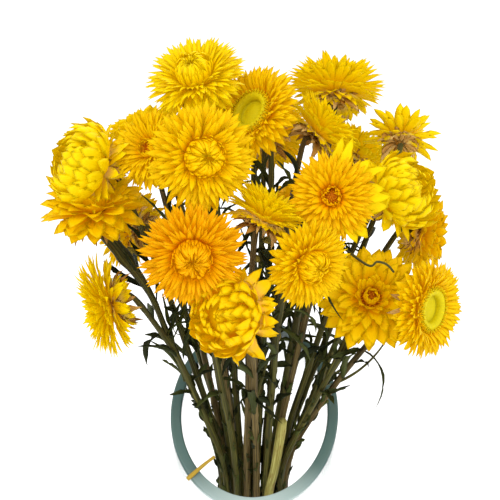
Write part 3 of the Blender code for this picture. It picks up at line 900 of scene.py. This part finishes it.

# %% [markdown]
# ## Glass
# The vase is clear, thick glass. Seen through the wall it is almost colourless, and along the cut
# rim, where light travels a long way inside it, it is blue grey. The rim's blue grey is painted on
# as a colour, darker along both its edges as painted shade and lighter at its low lip as painted
# light. The four marks say other things here: the middle of the rim's width, nearness to the rim,
# its low lip, and the outer wall.

# %% The glass finish


def glass_finish():
    made = Finish("vase_glass", Roughness=0.02, Specular_IOR_Level=0.2, IOR=1.45, Transmission_Weight=1.0)
    made.shader.inputs["Base Color"].default_value = (0.97, 0.985, 0.98, 1)
    crown, near, lip, outer = made.marks()
    rim = made.tree.nodes.new("ShaderNodeBsdfPrincipled")
    # Painted shade and light on the rim: darker along both edges, lighter in the middle of its width and at
    # the low lip.
    rim_tint_and_shade = made.mix(crown, (0.07, 0.13, 0.12), (0.14, 0.225, 0.205))
    rim_tint_and_shade = made.mix(lip, rim_tint_and_shade, (0.42, 0.53, 0.51))
    rim_tint_and_shade = made.mix(made.step(near, 0.0, 0.3), (0.42, 0.49, 0.47), rim_tint_and_shade)
    made.feed(rim.inputs["Base Color"], rim_tint_and_shade)
    rim.inputs["Roughness"].default_value = 0.12
    rim.inputs["Specular IOR Level"].default_value = 0.25
    # The outer wall darkens where it turns away from the eye.
    facing = made.add("ShaderNodeLayerWeight", None, {"Blend": 0.5}, output=1)
    edge = made.step(facing, 0.42, 0.85) * outer * 0.6
    blend = made.add("ShaderNodeMixShader", None, {0: made.math("MAXIMUM", near * 0.93, edge)})
    node = blend.socket.node
    made.tree.links.new(made.shader.outputs[0], node.inputs[1])
    made.tree.links.new(rim.outputs[0], node.inputs[2])
    made.tree.links.new(node.outputs[0], made.tree.nodes["Material Output"].inputs["Surface"])
    return made.material


GLASS = glass_finish()
print("glass finish made")

# %% [markdown]
# ## The vase
# The wall is one turned profile, up the outside, over the rounded rim and down the inside to a
# thick floor. Only the rim is slanted, so heights near it follow a tilted plane, and the profile
# below it stretches to meet that plane.

# %% Turn the vase
RIM_RADIUS, RIM_HEIGHT, WALL, TAPER = 45 * MM, 190 * MM, 5.8 * MM, 0.06
SLANT, SWING, FLOOR_THICK = math.radians(33.4), math.radians(3.4), 12 * MM
EDGE, FOOT, FILLET = 1.1 * MM, 3 * MM, 5 * MM


def rim_plane(radius, turn):
    """The height of the slanted rim at a distance and angle from the vase's axis."""
    return RIM_HEIGHT + math.tan(SLANT) * radius * np.sin(turn + SWING)


def vase_surface(sides=180):
    """Rings of the wall, and the four marks of each point.

    Each row is (inset from the outer wall, base height, share of the way up to the slanted rim,
    drop below the rim), and z = height + share * (rim - drop - height)."""
    roll = [(math.sin(a), math.cos(a)) for a in np.linspace(0, np.pi / 2, 6)]
    rise = np.linspace(0, 1, 14)
    rows = np.array([
        *((FOOT - FOOT * s, FOOT - FOOT * c, 0, 0) for s, c in roll[:-1]),
        *((0, FOOT, k, 2 * EDGE) for k in rise),
        *((EDGE - EDGE * c, 0, 1, EDGE - EDGE * s) for s, c in roll),
        *((WALL - EDGE + EDGE * s, 0, 1, EDGE - EDGE * c) for s, c in roll),
        *((WALL, FLOOR_THICK + FILLET, k, 2 * EDGE) for k in rise[::-1]),
        *((WALL + FILLET - FILLET * c, FLOOR_THICK + FILLET - FILLET * s, 0, 0) for s, c in roll[1:]),
    ])
    inset, height, share, drop = (rows[:, k, None] for k in range(4))
    turn = circle(sides)
    z = height + share * 0.8 * RIM_HEIGHT
    # The taper ties the radius to the height and back, which a few rounds settle.
    for _ in range(5):
        radius = RIM_RADIUS - TAPER * (RIM_HEIGHT - z) - inset
        plane = rim_plane(radius, turn)
        z = height + share * (plane - drop - height)
    z = np.broadcast_to(z, (len(rows), sides))
    points = np.stack([radius * np.cos(turn), radius * np.sin(turn), z], axis=2)
    crown = np.sin(np.clip(inset / WALL, 0, 1) * np.pi) ** 2
    near = np.exp(-np.clip((plane - z) / (2.0 * MM), 0, 9) ** 2)
    lip = np.clip((-np.sin(turn) - 0.6) / 0.4, 0, 1)
    shades = [np.broadcast_to(shade, z.shape) for shade in (crown, near, lip, inset < WALL / 2)]
    return points, np.stack(shades, axis=2)


bundle = Bundle()
points, shades = vase_surface()
rings, sides = points.shape[:2]
marks = np.concatenate([shades.reshape(-1, 4), np.zeros((2, 4))])
ends = np.array([[0, 0, 0], [0, 0, FLOOR_THICK]])
bundle.add(np.concatenate([points.reshape(-1, 3), ends]), ring_faces(rings, sides), marks)
vase = bundle.piece("vase_wall", [GLASS])
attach(vase, "root")
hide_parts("vase")
pieces.append(vase)
rim_heights = points[..., 2][shades[..., 1] > 0.9]
print("vase rim from", round(float(rim_heights.min() / MM)), "to", round(float(rim_heights.max() / MM)), "mm")

# %% [markdown]
# ## A stripped stalk without a head
# One pale stalk has lost its head. It stands at the front of the bunch and ends a little above the
# low side of the rim.

# %% Stand the stripped stalk
bundle = Bundle()
corners = np.array([
    (2, -15, 14), (3.4, -17, 80), (7.0, -19, 145), (10.6, -20, 168), (13.0, -20.5, 187), (14.4, -21, 200),
]) * MM
way = smooth_path(corners, 60)
radius = np.interp(np.linspace(0, 1, len(way)), [0, 0.6, 0.97, 1], [1.9, 2.3, 2.5, 2.2]) * MM
tube(bundle, way, radius, 0.6, 0, 15, 0.07)
stump = bundle.piece("stripped_stalk", [STALK["pale"]])
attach(stump, "root")
pieces.append(stump)
print("stripped stalk top", round(float(way[-1][2] / MM)), "mm up")

# %% [markdown]
# ## A bit of straw on the rim
# A short piece of bare straw lies over the glass rim on the left, with its inner end among the
# stalks. It follows from the rim's own height there.

# %% Lay the straw
bundle = Bundle()
STRAW_TURN, STRAW_OUT, STRAW_LIFT = math.radians(222), 42 * MM, 1.3 * MM
STRAW = plain_finish("bare_straw", (0.36, 0.22, 0.02), (0.52, 0.36, 0.05), 0.6)
rest_point = np.array([
    STRAW_OUT * math.cos(STRAW_TURN), STRAW_OUT * math.sin(STRAW_TURN),
    rim_plane(STRAW_OUT, STRAW_TURN) + STRAW_LIFT,
])
along = np.array([0.72, 0.28, 0.52])
ends = rest_point - along * 4.5 * MM, rest_point + along * 15 * MM
sag = np.sin(np.linspace(0, np.pi, 12)) * 0.5 * MM
way = np.linspace(*ends, 12) + np.outer(sag, [0, 0, 1.0])
tube(bundle, way, np.linspace(1.15, 0.8, 12) * MM, 0.4, 0, 9, 0.1)
straw = bundle.piece("straw_on_rim", [STRAW])
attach(straw, "root")
pieces.append(straw)
print("straw from", [round(float(v / MM)) for v in ends[0]], "to", [round(float(v / MM)) for v in ends[1]])

# %% [markdown]
# ## Camera, floor and light
# The photograph looks down at about 25 degrees from the side of the low lip, with a longish lens,
# so the vase runs out of the picture at the bottom. The floor is wide and almost white, and the
# light is soft and comes from all round, a little stronger from the upper left.

# %% Set the stage
CAMERA_AT, LOOK_DOWN, LENS = Vector((-2.2, -416, 480)) * MM, math.radians(25), 67.2
LAMPS_AIM_AT = Vector((0, 0, 0.3))
floor_mesh = bpy.data.meshes.new("floor")
floor_mesh.from_pydata([(-6, -6, 0), (6, -6, 0), (6, 6, 0), (-6, 6, 0)], [], [(0, 1, 2, 3)])
floor = bpy.data.objects.new("floor", floor_mesh)
bpy.context.scene.collection.objects.link(floor)
paper = Finish("pale_floor", Roughness=0.9, Emission_Color=(1, 1, 1, 1), Emission_Strength=0.1)
paper.shader.inputs["Base Color"].default_value = (0.93, 0.93, 0.93, 1)
floor_mesh.materials.append(paper.material)

camera = bpy.data.objects.new("camera", bpy.data.cameras.new("camera"))
camera.data.lens = LENS
camera.data.clip_start, camera.data.clip_end = 0.01, 50
camera.location = CAMERA_AT
camera.rotation_euler = (math.radians(90) - LOOK_DOWN, 0, 0)
bpy.context.scene.collection.objects.link(camera)
bpy.context.scene.camera = camera

bpy.context.scene.view_settings.view_transform = "Standard"
world = bpy.data.worlds.new("studio")
world.use_nodes = True
sky = world.node_tree.nodes["Background"].inputs
sky["Color"].default_value = (1, 1, 1, 1)
sky["Strength"].default_value = 1.08
bpy.context.scene.world = world

for title, place, size, power in (
    ("key", (-0.6, -0.7, 1.25), 0.9, 6.5),
    ("fill", (0.8, -0.6, 0.9), 0.9, 3.5),
    ("back", (0.1, 0.9, 1.1), 0.9, 5),
):
    lamp = bpy.data.lights.new(title, "AREA")
    lamp.size, lamp.energy = size, power
    light = bpy.data.objects.new(title, lamp)
    light.location = place
    light.rotation_euler = (LAMPS_AIM_AT - light.location).to_track_quat("-Z", "Y").to_euler()
    bpy.context.scene.collection.objects.link(light)
print("stage, camera and lights set")

# %% [markdown]
# ## Count the triangles
# The triangles of the new pieces, floor left out, are counted and printed.

# %% Count the triangles
print("triangles:", sum(sum(len(f.vertices) - 2 for f in p.data.polygons) for p in pieces))
